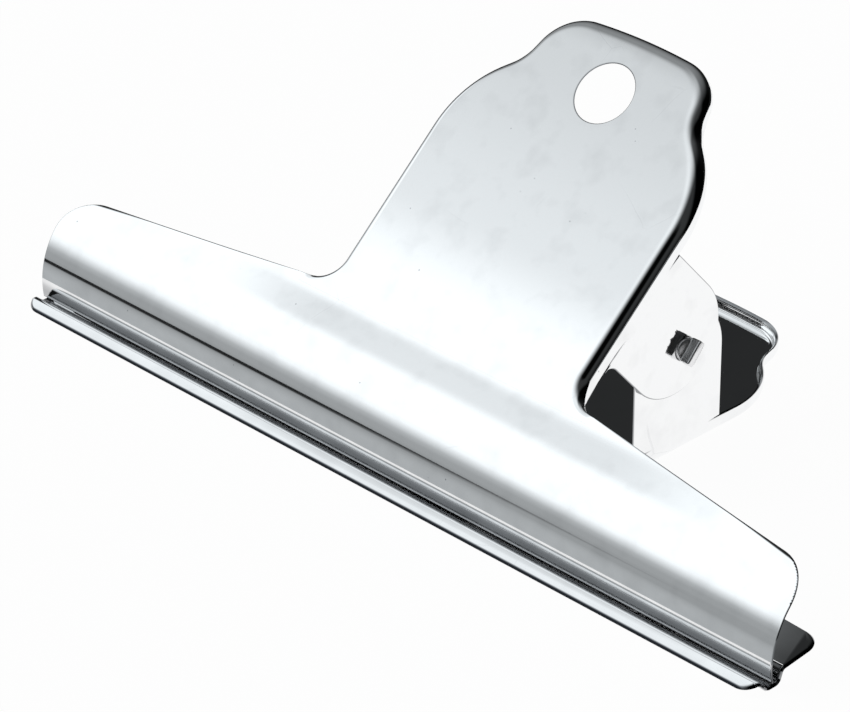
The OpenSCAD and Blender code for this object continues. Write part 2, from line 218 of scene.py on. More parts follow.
class Finishes(bpy.types.PropertyGroup):
    plating: tint("Plating", (0.945, 0.95, 0.955), "Colour of the bright plating")
    pin: tint("Pin", (0.84, 0.84, 0.85), "Colour of the pin's plating")
    wire: tint("Wire", (0.55, 0.56, 0.58), "Colour of the spring's wire")
    speck: tint("Specks", (0.32, 0.33, 0.35), "Colour of the dull specks in the plating")
    floor: tint("Floor", (0.92, 0.92, 0.92), "Colour of the floor")


def direction(turn):
    """Unit vector at an angle."""
    return Vector((math.cos(turn), math.sin(turn)))


def quarter_turn(count):
    """Angles from 0 to a quarter turn, in equal steps."""
    return [QUARTER * k / count for k in range(count + 1)]


def left_of(v):
    """The vector turned a quarter to the left."""
    return Vector((-v.y, v.x))


def walk(steps, at, heading):
    """Points and headings along runs (length, 0, count) and arcs (radius, turn, count)."""
    path = [(Vector(at), heading)]
    for reach, turn, count in steps:
        start, first = path[-1]
        for k in range(1, count + 1):
            if turn == 0:
                path.append((start + reach * k / count * direction(first), first))
            else:
                side = math.copysign(1, turn)
                centre = start + side * reach * left_of(direction(first))
                now = first + turn * k / count
                path.append((centre - side * reach * left_of(direction(now)), now))
    return path


def handle_half(handle, half_w, own_w, first, stops):
    """Right half of a handle's outline, from the flange's end to the middle of the crown."""
    drawn_in = (half_w - own_w) / (1 - math.cos(handle.shoulder_turn))
    path = walk(*first)
    side_end = handle.side_end + drawn_in * math.sin(handle.shoulder_turn)
    for stop in [*stops, side_end]:
        path += walk([(stop - path[-1][0].y, 0, 1)], *path[-1])[1:]
    steps = [(handle.shoulder_r - drawn_in, handle.shoulder_turn, SHOULDER_STEPS),
             (handle.shoulder_run, 0, 1), (handle.neck_r, -handle.neck_turn, NECK_STEPS),
             (handle.neck_run, 0, 1), (handle.crown_r, handle.crown_turn, CROWN_STEPS)]
    path += walk(steps, *path[-1])[1:]
    last, heading = path[-1]
    turn = math.pi - heading
    path += walk([(last.x / math.sin(turn), turn, TOP_STEPS)], last, heading)[1:]
    return path


def both_sides(half):
    """The whole outline, from a half that ends on the middle line."""
    return half + [(Vector((-p.x, p.y)), math.tau - h) for p, h in reversed(half[:-1])]


def bent(corners, radii, aside):
    """A path in y and z with rounded corners, moved to its left by the given distance."""
    points = []
    for i, corner in enumerate(corners):
        before = (corner - corners[i - 1]).normalized() if i else None
        after = (corners[i + 1] - corner).normalized() if i + 1 < len(corners) else None
        if before is None or after is None:
            points.append(corner + aside * left_of(after or before))
            continue
        turn = math.asin(before.x * after.y - before.y * after.x)
        side, r = math.copysign(1, turn), radii[i - 1]
        centre = corner - r * math.tan(abs(turn) / 2) * before + side * r * left_of(before)
        count = max(8, round(abs(math.degrees(turn)) / 1.5))
        heading = math.atan2(before.y, before.x)
        for k in range(count + 1):
            a = heading + turn * k / count
            points.append(centre + (side * r - aside) * Vector((math.sin(a), -math.cos(a))))
    return points


def inside(p, loop):
    """Whether a point lies inside a closed loop."""
    hit = False
    for a, b in zip(loop, loop[1:] + loop[:1]):
        if (a.y > p.y) != (b.y > p.y) and p.x < (b.x - a.x) * (p.y - a.y) / (b.y - a.y) + a.x:
            hit = not hit
    return hit


def arc(centre, r, start, turn, count):
    """Points along an arc, with both its ends."""
    return [centre + r * direction(start + turn * k / count) for k in range(count + 1)]


def circle(centre, r):
    """Closed loop of a circle."""
    return [Vector(centre) + r * direction(math.tau * k / HOLE_SIDES) for k in range(HOLE_SIDES)]


def inner_loop(loop, d):
    """A closed loop drawn inwards, so that shading stays true beside a rounded edge."""
    area = sum(a.x * b.y - a.y * b.x for a, b in zip(loop, loop[1:] + loop[:1]))
    side, drawn = math.copysign(1, area), []
    for i, p in enumerate(loop):
        a = (p - loop[i - 1]).normalized()
        b = (loop[(i + 1) % len(loop)] - p).normalized()
        n = side * (left_of(a) + left_of(b))
        drawn.append(p + d * n.normalized() / max(0.5, n.length / 2))
    return drawn


def fill(bm, border, holes, lines, place):
    """Fills a flat region with triangles that keep to its border, holes and lines."""
    points, edges = [], []
    loops = [border, inner_loop(border, SUPPORT)]
    for centre, r in holes:
        loops += [circle(centre, r), circle(centre, r + SUPPORT)]
    for chain, closed in [(loop, 1) for loop in loops] + [(line, 0) for line in lines]:
        start, count = len(points), len(chain)
        points += chain
        edges += [(start + i, start + (i + 1) % count) for i in range(count - 1 + closed)]
    found, _, faces, *_ = geometry.delaunay_2d_cdt(points, edges, [], 0, MERGE / 20)
    made = {}
    for face in faces:
        middle = sum((found[i] for i in face), Vector((0, 0))) / 3
        if not inside(middle, border) or any((middle - Vector(c)).length < r for c, r in holes):
            continue
        for i in face:
            if i not in made:
                made[i] = bm.verts.new(place(found[i]))
        bm.faces.new([made[i] for i in face])


def rim(bm, outline, fade_count, form, up):
    """Rim of a handle: flat where it starts, then bent down into the flange.

    Returns the points along its inner side and those across its two ends.
    """
    rows, last = [], len(outline) - 1
    for i, (p, heading) in enumerate(outline):
        share = (1 - math.cos(math.pi * min(1, min(i, last - i) / fade_count))) / 2
        bend = [form["bend_r"] * Vector((1 - math.sin(a), 1 - math.cos(a)))
                for a in quarter_turn(BEND_STEPS)]
        section = [bend[0] + Vector((SUPPORT, 0)), *bend, Vector((0, form["bend_r"] + SUPPORT)),
                   Vector((0, form["flange"] - SUPPORT)), Vector((0, form["flange"]))]
        row = []
        for j, s in enumerate(section):
            level = Vector((form["flat"] * (1 - j / (len(section) - 1)), 0))
            if j == 0:
                level.x += SUPPORT
            s = share * s + (1 - share) * level
            q = p + s.x * left_of(direction(heading))
            row.append(bm.verts.new((q.x, q.y, up * (form["gap"] - s.y))))
        rows.append(row)
    for a, b in zip(rows, rows[1:]):
        for j in range(len(a) - 1):
            bm.faces.new((a[j], a[j + 1], b[j + 1], b[j]))
    inner = [Vector(row[0].co.xy) for row in rows]
    ends = [[Vector(v.co.xy) for v in row[1:-1]] for row in (rows[0], rows[-1])]
    return inner, ends


def ear(bm, handle, form, x, up):
    """Ear that hangs from the flange and takes the pin."""
    r, fillet, top = handle.ear_r, handle.ear_fillet, form["gap"] - form["flange"]
    border = [Vector((y, top)) for y in (r, *reversed(ear_stops(handle)[1:-1]))]
    border += [Vector((-r - fillet * (1 - math.sin(a)), top - fillet * (1 - math.cos(a))))
               for a in quarter_turn(FILLET_STEPS)]
    border += arc(Vector((0, r - handle.ear_reach)), r, math.pi, math.pi, EAR_STEPS)
    fill(bm, border, [((0, 0), handle.pin_hole_r)], [], lambda p: (x, p.x, up * p.y))


def ear_stops(handle):
    """Places along the side where the ear begins, ends and shares points with the flange."""
    first, last = -handle.ear_r - handle.ear_fillet, handle.ear_r
    return [first + (last - first) * k / EAR_STOPS for k in range(EAR_STOPS + 1)]


def wing_border(edge, slope, corner_r, jaw_l, front_y, tip_r):
    """Right edge of the wings and the jaw, from the flange's end to the jaw's middle."""
    root, corner_x = edge[-1], jaw_l / 2 - corner_r
    corner = Vector((corner_x, root.y - (corner_x - root.x) * math.tan(slope)
                     - corner_r / math.cos(slope)))
    border = edge + arc(corner, corner_r, QUARTER - slope, slope - QUARTER, CORNER_STEPS)
    tip = Vector((jaw_l / 2 - tip_r, front_y + tip_r))
    return border + (arc(tip, tip_r, 0, -QUARTER, LIP_STEPS) if tip_r else [tip])


def plate(name, bm, ends, face, sides, path, form, up, handle, sheet, turn):
    """One plate: sheet, rim and ears joined, given its wall, and set at its place."""
    ys = [p.x for p in path]

    def height(y):
        """Height of the bent sheet's outer face."""
        for a, b in zip(path, path[1:]):
            if b.x <= y + MERGE and y <= a.x:
                return a.y + (b.y - a.y) * (a.x - y) / max(a.x - b.x, TINY)
        return path[0].y if y > ys[0] else path[-1].y

    border = (sides + [Vector((-p.x, p.y)) for p in reversed(sides)]
              + [*reversed(ends[1]), *reversed(face), *ends[0]])
    keep = [border[0]]
    for p in border[1:]:
        if (p - keep[-1]).length > MERGE:
            keep.append(p)
    lines = [[Vector((-sheet.jaw_l, y)), Vector((sheet.jaw_l, y))]
             for y in ys[1:-1] if y < form["bend_from"]]
    lines.append([face[form["line"]], face[-1 - form["line"]]])
    fill(bm, keep, [((0, handle.hole_at), handle.hole_r)], lines,
         lambda p: (p.x, p.y, height(p.y if p.y < form["bend_from"] else ys[0])))
    for x in (form["w"], -form["w"]):
        ear(bm, handle, form, x, up)
    bmesh.ops.remove_doubles(bm, verts=bm.verts, dist=MERGE)
    bmesh.ops.dissolve_degenerate(bm, edges=bm.edges, dist=MERGE / 4)
    bmesh.ops.recalc_face_normals(bm, faces=bm.faces)
    flat = max((f for f in bm.faces if abs(f.normal.z) > LEVEL), key=lambda f: f.calc_area())
    if flat.normal.z * up < 0:
        bmesh.ops.reverse_faces(bm, faces=bm.faces)
    bm.transform(Matrix.Translation((0, sheet.pin_y, sheet.pin_z)) @ Matrix.Rotation(turn, 4, "X"))
    round_edges(bm, form, handle, sheet)
    made = new_object(name, bm)
    made.vertex_groups.new(name="wall")
    wall = made.modifiers.new("wall", "SOLIDIFY")
    wall.thickness, wall.offset, wall.vertex_group = sheet.wall, -1, "wall"
    made = applied(made)
    made.data.set_sharp_from_angle(angle=HARD_SHEET)
    made.modifiers.new("even light", "WEIGHTED_NORMAL").keep_sharp = True
    return applied(made)


def round_edges(bm, form, handle, sheet):
    """Thins the sheet towards its stamped edges and marks them in a UV map, where the plating paints
    them darker as a painted reflection.
    """
    bm.normal_update()
    painted_dark = bm.loops.layers.uv.new("cut edge")
    for corner in (c for f in bm.faces for c in f.loops):
        corner[painted_dark].uv = (1.0 if corner.vert.is_boundary else 0.0, 0.0)
    weights = bm.verts.layers.deform.verify()
    for v in bm.verts:
        v[weights][0] = 1.0
    for v in [v for v in bm.verts if v.is_boundary]:
        room = min((e.calc_length() for e in v.link_edges if not e.is_boundary), default=0)
        apart = Vector((abs(v.co.x) - form["w"], v.co.y + handle.start)).length
        fall = min(sheet.edge, ROUND_SHARE * room) * min(1, apart / sheet.plain)
        v[weights][0] = 1 - 2 * fall / sheet.wall     # as much comes off the inner face
        v.co -= fall * v.normal


def new_object(name, bm):
    """Object in the scene from a mesh under construction, shaded smooth."""
    mesh = bpy.data.meshes.new(name)
    bm.to_mesh(mesh)
    bm.free()
    mesh.shade_smooth()
    made = bpy.data.objects.new(name, mesh)
    bpy.context.scene.collection.objects.link(made)
    return made


def applied(made):
    """Replaces an object's modifiers with their result."""
    graph = bpy.context.evaluated_depsgraph_get()
    graph.update()
    mesh = bpy.data.meshes.new_from_object(made.evaluated_get(graph))
    made.modifiers.clear()
    if made.type == "MESH":
        made.data = mesh
        return made
    name = made.name
    bpy.data.objects.remove(made)
    result = bpy.data.objects.new(name, mesh)
    bpy.context.scene.collection.objects.link(result)
    return result


# Shader maths as expressions on sockets
class Shade:
    """A node's output socket that can be added, subtracted, multiplied and compared."""

    def __init__(self, tree, socket=None):
        self.tree, self.socket = tree, socket

    def make(self, kind, settings=None, **values):
        """A node of the given type, with its settings first and then its inputs."""
        node = self.tree.nodes.new(kind)
        for key, value in (settings or {}).items():
            if key == "stops":
                band = node.color_ramp.elements
                while len(band) > 1:
                    band.remove(band[-1])
                for k, (at, level) in enumerate(value):
                    stop = band[0] if k == 0 else band.new(at)
                    stop.position, stop.color = at, (level, level, level, 1)
            else:
                setattr(node, key, value)
        for key, value in values.items():
            slot = node.inputs[int(key[1:]) if key[0] == "_" else key.replace("_", " ")]
            if isinstance(value, Shade):
                self.tree.links.new(value.socket, slot)
            else:
                slot.default_value = value
        return node

    def out(self, kind, settings=None, output=0, **values):
        """One output of a new node."""
        return Shade(self.tree, self.make(kind, settings, **values).outputs[output])

    def maths(self, operation, *others):
        """The result of a Math node on this and the others."""
        values = {f"_{k}": value for k, value in enumerate((self, *others))}
        return self.out("ShaderNodeMath", {"operation": operation}, **values)

    def __add__(self, other): return self.maths("ADD", other)
    def __radd__(self, other): return self.maths("ADD", other)
    def __rmul__(self, other): return self.maths("MULTIPLY", other)
    def __mul__(self, other): return self.maths("MULTIPLY", other)
    def __sub__(self, other): return self.maths("SUBTRACT", other)
    def __rsub__(self, other): return (self * -1).maths("ADD", other)
    def __lt__(self, other): return self.maths("LESS_THAN", other)
    def __gt__(self, other): return self.maths("GREATER_THAN", other)

    def step(self, low, high):
        """0 below low, 1 above high, and smooth between them."""
        return self.out("ShaderNodeMapRange", {"interpolation_type": "SMOOTHSTEP"},
                        Value=self, From_Min=low, From_Max=high)

    def blend(self, a, b):
        """Colour a where this is 0 and b where it is 1."""
        return self.out("ShaderNodeMix", {"data_type": "RGBA"}, output=2, _0=self, _6=a, _7=b)


def rgba(colour):
    """The colour with full alpha."""
    return (*colour, 1)


def split(tree, vector):
    """The three parts of a vector."""
    parts = Shade(tree).make("ShaderNodeSeparateXYZ", Vector=vector)
    return [Shade(tree, socket) for socket in parts.outputs]


def ramp(value, stops):
    """Grey ramp over a value between 0 and 1."""
    made = value.out("ShaderNodeValToRGB", {"stops": stops}, Fac=value)
    return Shade(value.tree, value.make("ShaderNodeSeparateColor", Color=made).outputs[0])


def seen_by(tree, *kinds):
    """1 where a ray is of one of the given kinds."""
    rays = Shade(tree).make("ShaderNodeLightPath")
    first, *others = [Shade(tree, rays.outputs[kind]) for kind in kinds]
    for other in others:
        first = first.maths("MAXIMUM", other)
    return first


def new_material(name):
    """A material with an empty tree, its maths and its output node."""
    made = bpy.data.materials.new(name)
    made.use_nodes = True
    made.node_tree.nodes.clear()
    return made, Shade(made.node_tree), made.node_tree.nodes.new("ShaderNodeOutputMaterial")


def bright_metal(name, colour, speck, dull, scratched, shade_painting=None):
    """Plated steel with faint hairlines, dull specks and a slightly uneven polish.

    Shade painting, where given, is an axis and a function of the place along it and the grain: the
    plating is painted darker where that function falls, as painted shade and painted reflection, and
    along the stamped edges.
    """
    made, s, output = new_material(name)
    place = s.out("ShaderNodeTexCoord", output=3)
    wide = s.out("ShaderNodeTexNoise", Vector=place, Scale=38.0, Detail=3.0)
    drift = s.out("ShaderNodeVectorMath", {"operation": "MULTIPLY_ADD"}, _0=s.out(
        "ShaderNodeTexNoise", output=1, Vector=place, Scale=60.0, Detail=2.0),
        _1=(0.004, 0.004, 0.004), _2=place)
    turned = s.out("ShaderNodeMapping", Vector=drift, Rotation=(0.3, 0.2, 0.9),
                   Scale=(1, 0.25, 1))
    lines = s.out("ShaderNodeTexVoronoi", {"feature": "DISTANCE_TO_EDGE"}, Vector=turned,
                  Scale=90.0)
    patch = s.out("ShaderNodeTexNoise", Vector=place, Scale=70.0, Detail=1.0).step(0.6, 0.7)
    hairline = (lines < HAIRLINE) * patch * scratched
    dots = s.out("ShaderNodeTexVoronoi", Vector=place, Scale=420.0, Randomness=1.0)
    thin_out = s.out("ShaderNodeTexNoise", Vector=place, Scale=160.0, Detail=0.0) > 0.62
    dot = (dots < SPECK) * thin_out
    peel = s.out("ShaderNodeTexNoise", Vector=place, Scale=240.0, Detail=2.0)
    bump = s.out("ShaderNodeBump", Strength=0.12, Distance=2e-5,
                 Height=peel * 0.5 - hairline * 0.6 - dot)
    plate_colour = (dot * 0.6 + hairline * 0.1).blend(rgba(colour), rgba(speck))
    if shade_painting:
        axis, shade_painter = shade_painting
        # The stamped edges, marked in the UV map, get a painted reflection: the plating is painted
        # darker there
        painted_dark = split(s.tree, s.out("ShaderNodeTexCoord", output=2))[0]
        unshaded = shade_painter(split(s.tree, place)[axis], peel) * (1 - painted_dark.step(0.15, 0.8) * 0.72)
        # Painted shade and painted reflection: the plating is blended towards near-black where the
        # unshaded share falls
        plate_colour = unshaded.blend(PAINTED_SHADE, plate_colour)
    shader = s.make("ShaderNodeBsdfPrincipled", Base_Color=plate_colour,
                    Metallic=1.0, Roughness=wide * 0.04 + hairline * 0.1 + dot * 0.2 + dull,
                    Normal=bump)
    made.node_tree.links.new(shader.outputs[0], output.inputs[0])
    return made


def drawn_wire(name, colour):
    """Drawn spring steel: fine lines along the wire and a satin sheen."""
    made, s, output = new_material(name)
    place = s.out("ShaderNodeTexCoord", output=3)
    grain = s.out("ShaderNodeTexNoise", Vector=s.out("ShaderNodeMapping", Vector=place,
                                                     Scale=(6, 1, 1)), Scale=900.0, Detail=3.0)
    shade = s.out("ShaderNodeTexNoise", Vector=place, Scale=120.0, Detail=3.0)
    dark = tuple(c * 0.72 for c in colour)
    shader = s.make("ShaderNodeBsdfPrincipled",
                    Base_Color=shade.step(0.3, 0.75).blend(rgba(colour), rgba(dark)),
                    Metallic=1.0, Roughness=grain * 0.16 + 0.2,
                    Normal=s.out("ShaderNodeBump", Strength=0.2, Distance=2e-5, Height=grain))
    made.node_tree.links.new(shader.outputs[0], output.inputs[0])
    return made


def dress(made, material, body):
    """Gives a finished piece its material, and lets it ride on its body."""
    made.data.materials.clear()
    made.data.materials.append(material)
    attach(made, body)


def paint_jaw_shade(height, grain):
    """Share of unshaded plating over the jaw: less in a strip of painted shade just above the
    gripping edge, where it meets the other plate.
    """
    return ramp(height * 150, JAW_PAINTED_SHADE) * (grain * 0.3 + 0.85)


def paint_lip_shade(depth, grain):
    """Share of unshaded plating over the lip: painted shade in the groove, and painted reflection as
    a grey over the lip and a dark line at the lip's turned edge.
    """
    return ramp((depth + 0.037) * 140, LIP_PAINTED_SHADE) * (grain * 0.2 + 0.9)


def plating(name, axis, shade_painter):
    """Bright plating for one plate, with painted shade and painted reflection laid along the given
    axis.
    """
    finish = bpy.context.scene.clip_finish
    return bright_metal(name, finish.plating, finish.speck, dull=0.035, scratched=1.0,
                        shade_painting=(axis, shade_painter))


class FrontPlate(bpy.types.Operator):
    """Front plate: handle, wings and the long curved jaw"""
    bl_idname = "clip.front_plate"
    bl_label = "Front plate"

    def execute(self, context):
        scene = context.scene
        sheet, handle, front = scene.clip_sheet, scene.clip_handle, scene.clip_front
        bm = bmesh.new()
        half = handle_half(handle, sheet.half_w, sheet.half_w,
                           ([(handle.notch_r, -QUARTER, NOTCH_STEPS)],
                            (sheet.half_w + handle.notch_r, -handle.start), math.pi),
                           ear_stops(handle))
        outline = both_sides(half)
        form = dict(gap=front.gap, flange=front.flange, bend_r=front.bend_r, flat=front.flat,
                    w=sheet.half_w, bend_from=-handle.start - front.flat - 2 * SUPPORT, line=6)
        face, ends = rim(bm, outline, NOTCH_STEPS, form, 1)
        lift, turned = front.wing_lift, front.jaw_turn - front.wing_lift
        centre = Vector((-front.jaw_at, front.gap + (front.jaw_at - front.wing_at)
                         * math.tan(lift) - front.jaw_r / math.cos(lift)))
        apex = centre + (front.jaw_r / math.cos(front.jaw_turn / 2)
                         * left_of(direction(turned - front.jaw_turn / 2)))
        nip = centre + front.jaw_r * left_of(direction(turned)) - front.nip * direction(turned)
        path = bent([Vector((half[-1][0].y, front.gap)), Vector((-front.wing_at, front.gap)),
                     apex, nip], [front.wing_bend_r, front.jaw_r], 0)
        sides = wing_border([half[0][0]], front.slope, front.corner_r, sheet.jaw_l, path[-1].x, 0)
        made = plate("front_plate_sheet", bm, ends, face, sides, path, form, 1, handle, sheet,
                     sheet.front_turn)
        dress(made, plating("front plating", 2, paint_jaw_shade), "front_half")
        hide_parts("front_plate")
        return {"FINISHED"}


class BackPlate(bpy.types.Operator):
    """Back plate: handle, wings, and the jaw with its groove and lip"""
    bl_idname = "clip.back_plate"
    bl_label = "Back plate"

    def execute(self, context):
        scene = context.scene
        sheet, handle, back = scene.clip_sheet, scene.clip_handle, scene.clip_back
        bm = bmesh.new()
        own_w = sheet.half_w - sheet.nest
        half = handle_half(handle, sheet.half_w, own_w,
                           ([(handle.fade, 0, FADE_STEPS)], (own_w, -handle.start), QUARTER),
                           ear_stops(handle))
        outline = both_sides(half)
        form = dict(gap=back.gap, flange=back.flange, bend_r=back.bend_r, flat=back.bend_r,
                    w=own_w, bend_from=-handle.start - SUPPORT, line=0)
        face, ends = rim(bm, outline, FADE_STEPS, form, -1)
        low = sheet.wall - back.gap
        groove = -back.groove_at
        rear, front = groove + back.groove_w / 2, groove - back.groove_w / 2
        crest = front - back.groove_front
        corners = [Vector(p) for p in (
            (half[-1][0].y, low), (-back.ramp_at, low),
            (-back.ramp_at - back.ramp_l, low + back.ramp_h),
            (rear + back.groove_rear, low + back.groove_d), (rear, low), (front, low),
            (crest, low + back.crest_h), (crest - back.lip_l, low + back.crest_h - back.lip_fall))]
        path = bent(corners, [back.ramp_r, back.ramp_r, back.crest_r, back.groove_r, back.groove_r,
                              back.crest_r], sheet.wall)
        run = back.wing_at - back.fillet_r - handle.start
        turns = [(run, 0, 1), (back.fillet_r, QUARTER - back.slope, BEND_STEPS)]
        edge = [p for p, _ in walk(turns, (own_w, -handle.start), -QUARTER)]
        sides = wing_border(edge, back.slope, back.corner_r, sheet.jaw_l, path[-1].x,
                            back.lip_corner_r)
        made = plate("back_plate_sheet", bm, ends, face, sides, path, form, -1, handle, sheet, 0)
        dress(made, plating("back plating", 1, paint_lip_shade), "back_half")
        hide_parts("back_plate")
        return {"FINISHED"}


class PivotPin(bpy.types.Operator):
    """Pin: a round shank whose ends are squeezed flat"""
    bl_idname = "clip.pivot_pin"
    bl_label = "Pin"

    def execute(self, context):
        scene, bm = context.scene, bmesh.new()
        pin, sheet = scene.clip_pin, scene.clip_sheet

        def ring(x, share, drawn):
            """Section of the pin: round where share is 0, and a rounded bar where it is 1."""
            wide, thick = pin.blade_w / 2 - drawn, pin.blade_t / 2 - drawn
            made = []
            for k in range(PIN_SIDES):
                c, s = direction(math.tau * k / PIN_SIDES)
                scale = (abs(c) ** PIN_SQUARE + abs(s) ** PIN_SQUARE) ** (-1 / PIN_SQUARE)
                flat = Vector((wide * scale * c, thick * scale * s))
                p = ((pin.radius - drawn) * Vector((c, s))).lerp(flat, share)
                turned = Matrix.Rotation(pin.blade_turn, 2) @ p
                made.append(bm.verts.new((x, turned.x + sheet.pin_y, turned.y + sheet.pin_z)))
            return made

        end = -pin.shank - pin.blade_l
        stations = [(end, 1, PIN_SOFT * 1.6), (end + PIN_SOFT, 1, PIN_SOFT * 0.4),
                    (end + 3 * PIN_SOFT, 1, 0)]
        for k in range(9):
            share = (1 + math.cos(math.pi * k / 8)) / 2
            stations.append((-pin.shank + (k - 2) * PIN_STEP, share, 0))
        stations += [(-x, share, drawn) for x, share, drawn in reversed(stations)]
        rings = [ring(*station) for station in stations]
        for a, b in zip(rings, rings[1:]):
            for k in range(PIN_SIDES):
                after = (k + 1) % PIN_SIDES
                bm.faces.new((a[k], a[after], b[after], b[k]))
        bm.faces.new(rings[0])
        bm.faces.new(list(reversed(rings[-1])))
        bmesh.ops.recalc_face_normals(bm, faces=bm.faces)
        made = new_object("pin_rod", bm)
        made.data.set_sharp_from_angle(angle=HARD_PIN)
        finish = scene.clip_finish
        plated = bright_metal("pin plating", finish.pin, finish.speck, dull=0.3, scratched=0.6)
        dress(made, plated, "back_half")
        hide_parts("pivot_pin")
        return {"FINISHED"}


def wire_tree(material):
    """Node tree that sweeps a round wire along a path."""
    tree = bpy.data.node_groups.new("wire along a path", "GeometryNodeTree")
    tree.is_modifier = True
    for label, kind, way in (("Path", "NodeSocketGeometry", "INPUT"),
                             ("Wire radius", "NodeSocketFloat", "INPUT"),
                             ("Sides", "NodeSocketInt", "INPUT"),
                             ("Wire", "NodeSocketGeometry", "OUTPUT")):
        tree.interface.new_socket(label, in_out=way, socket_type=kind)
    kinds = ("NodeGroupInput", "GeometryNodeCurvePrimitiveCircle", "GeometryNodeCurveToMesh",
             "GeometryNodeSetShadeSmooth", "GeometryNodeRealizeInstances",
             "GeometryNodeSetMaterial", "NodeGroupOutput")
    group, ring, sweep, smooth, real, coat, output = [tree.nodes.new(kind) for kind in kinds]
    sweep.inputs["Fill Caps"].default_value = True
    coat.inputs["Material"].default_value = material
    for a, b in ((group.outputs["Path"], sweep.inputs["Curve"]),
                 (group.outputs["Wire radius"], ring.inputs["Radius"]),
                 (group.outputs["Sides"], ring.inputs["Resolution"]),
                 (ring.outputs["Curve"], sweep.inputs["Profile Curve"]),
                 (sweep.outputs["Mesh"], smooth.inputs["Geometry"]),
                 (smooth.outputs["Geometry"], real.inputs["Geometry"]),
                 (real.outputs["Geometry"], coat.inputs["Geometry"]),
                 (coat.outputs["Geometry"], output.inputs["Wire"])):
        tree.links.new(a, b)
    return tree


def wire_piece(name, points, tree, radius):
    """A length of wire along the given points."""
    curve = bpy.data.curves.new(name, "CURVE")
    curve.dimensions = "3D"
    spline = curve.splines.new("POLY")
    spline.points.add(len(points) - 1)
    for point, place in zip(spline.points, points):
        point.co = (*place, 1)
    path = bpy.data.objects.new(name, curve)
    bpy.context.scene.collection.objects.link(path)
    sweep = path.modifiers.new("wire", "NODES")
    sweep.node_group = tree
    values = {"Wire radius": radius, "Sides": WIRE_SIDES}
    for item in tree.interface.items_tree:
        if item.name in values:
            sweep[item.identifier] = values[item.name]
    return applied(path)


class TorsionSpring(bpy.types.Operator):
    """Torsion spring: a coil round the pin, with a leg and foot on each handle"""
    bl_idname = "clip.torsion_spring"
    bl_label = "Spring"

    def execute(self, context):
        scene = context.scene
        spring, sheet = scene.clip_spring, scene.clip_sheet
        gaps = scene.clip_back.gap, scene.clip_front.gap
        feet = [Vector((spring.leg_at, gap - sheet.wall - spring.foot_gap - spring.wire_r))
                for gap in gaps]
        reach = [math.atan2(foot.y, foot.x) + math.acos(spring.coil_r / foot.length)
                 for foot in feet]
        start = -reach[0]
        end = sheet.front_turn + reach[1] - math.tau * (spring.turns + 1)
        coil_l = spring.pitch * (start - end) / math.tau
        pin = Vector((0, sheet.pin_y, sheet.pin_z))

        def outwards(a):
            """Direction from the pin at an angle."""
            return Vector((0, *direction(a)))

        steps = round(COIL_STEPS * (start - end) / math.tau)
        coil = [pin + Vector((coil_l * (k / steps - 0.5), 0, 0))
                + spring.coil_r * outwards(start + (end - start) * k / steps)
                for k in range(steps + 1)]

        def leg(a, root, side, foot):
            """Points of a leg and its foot, from the coil outwards."""
            out = outwards(a)
            along, across = side * Vector((0, -out.z, out.y)), Vector((side, 0, 0))
            run = math.sqrt(foot.length_squared - spring.coil_r ** 2)
            corner = root + (run - spring.foot_r) * along
            bend = [corner + spring.foot_r * (math.sin(t) * along + (1 - math.cos(t)) * across)
                    for t in quarter_turn(BEND_STEPS)]
            tip = corner + spring.foot_r * along + (spring.foot_r + spring.foot_l) * across
            return [root, *bend, tip]

        tree = wire_tree(drawn_wire("drawn spring wire", scene.clip_finish.wire))
        made = wire_piece("spring_coil", coil, tree, spring.wire_r)
        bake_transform(made)
        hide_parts("torsion_spring")
        legs = (("spring_foot_back", start, coil[0], 1, feet[0], "back_half"),
                ("spring_foot_front", end, coil[-1], -1, feet[1], "front_half"))
        for name, a, root, side, foot, body in legs:
            piece = wire_piece(name, leg(a, root, side, foot), tree, spring.wire_r)
            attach(piece, body)
        return {"FINISHED"}


def card(name, x, y, z, finish):
    """A level card over the table that only reflections see, finished by its own place."""
    bm = bmesh.new()
    bm.faces.new([bm.verts.new((x[i], y[j], z)) for i, j in ((0, 0), (1, 0), (1, 1), (0, 1))])
    made = new_object(name, bm)
    material, s, output = new_material(name)
    level, cover = finish(*split(s.tree, s.out("ShaderNodeTexCoord", output=3))[:2])
    tone = s.out("ShaderNodeEmission", Color=COOL, Strength=level)
    shader = s.out("ShaderNodeMixShader", _0=cover, _1=s.out("ShaderNodeBsdfTransparent"), _2=tone)
    material.node_tree.links.new(shader.socket, output.inputs[0])
    made.data.materials.append(material)
    made.visible_camera = made.visible_diffuse = made.visible_shadow = False


def apron(x, y):
    """Grey paper in front of the jaws, with a dark gap on its left, then paler ground."""
    ground = 0.34
    paper = ramp(y * -5, [(0.19, 0.5), (0.25, 0.44), (0.31, 0.38), (0.38, 0.3), (0.43, 0.02),
                          (0.75, 0.01), (0.77, ground), (1.0, ground)])
    right = x.step(-0.075, -0.005)
    return paper * (1 - right) + paper.maths("MAXIMUM", ground) * right, 1.0


def haze(x, y):
    """Soft grey screen close over the handle, darker towards the back and faded at its border."""
    cover = (x.step(-0.085, -0.06) * (1 - x.step(0.0, 0.03)) * y.step(-0.042, -0.026)
             * (1 - y.step(0.018, 0.05)))
    return 0.88 - y.step(-0.032, 0.01) * 0.17 - y.step(0.007, 0.018) * 0.45, cover


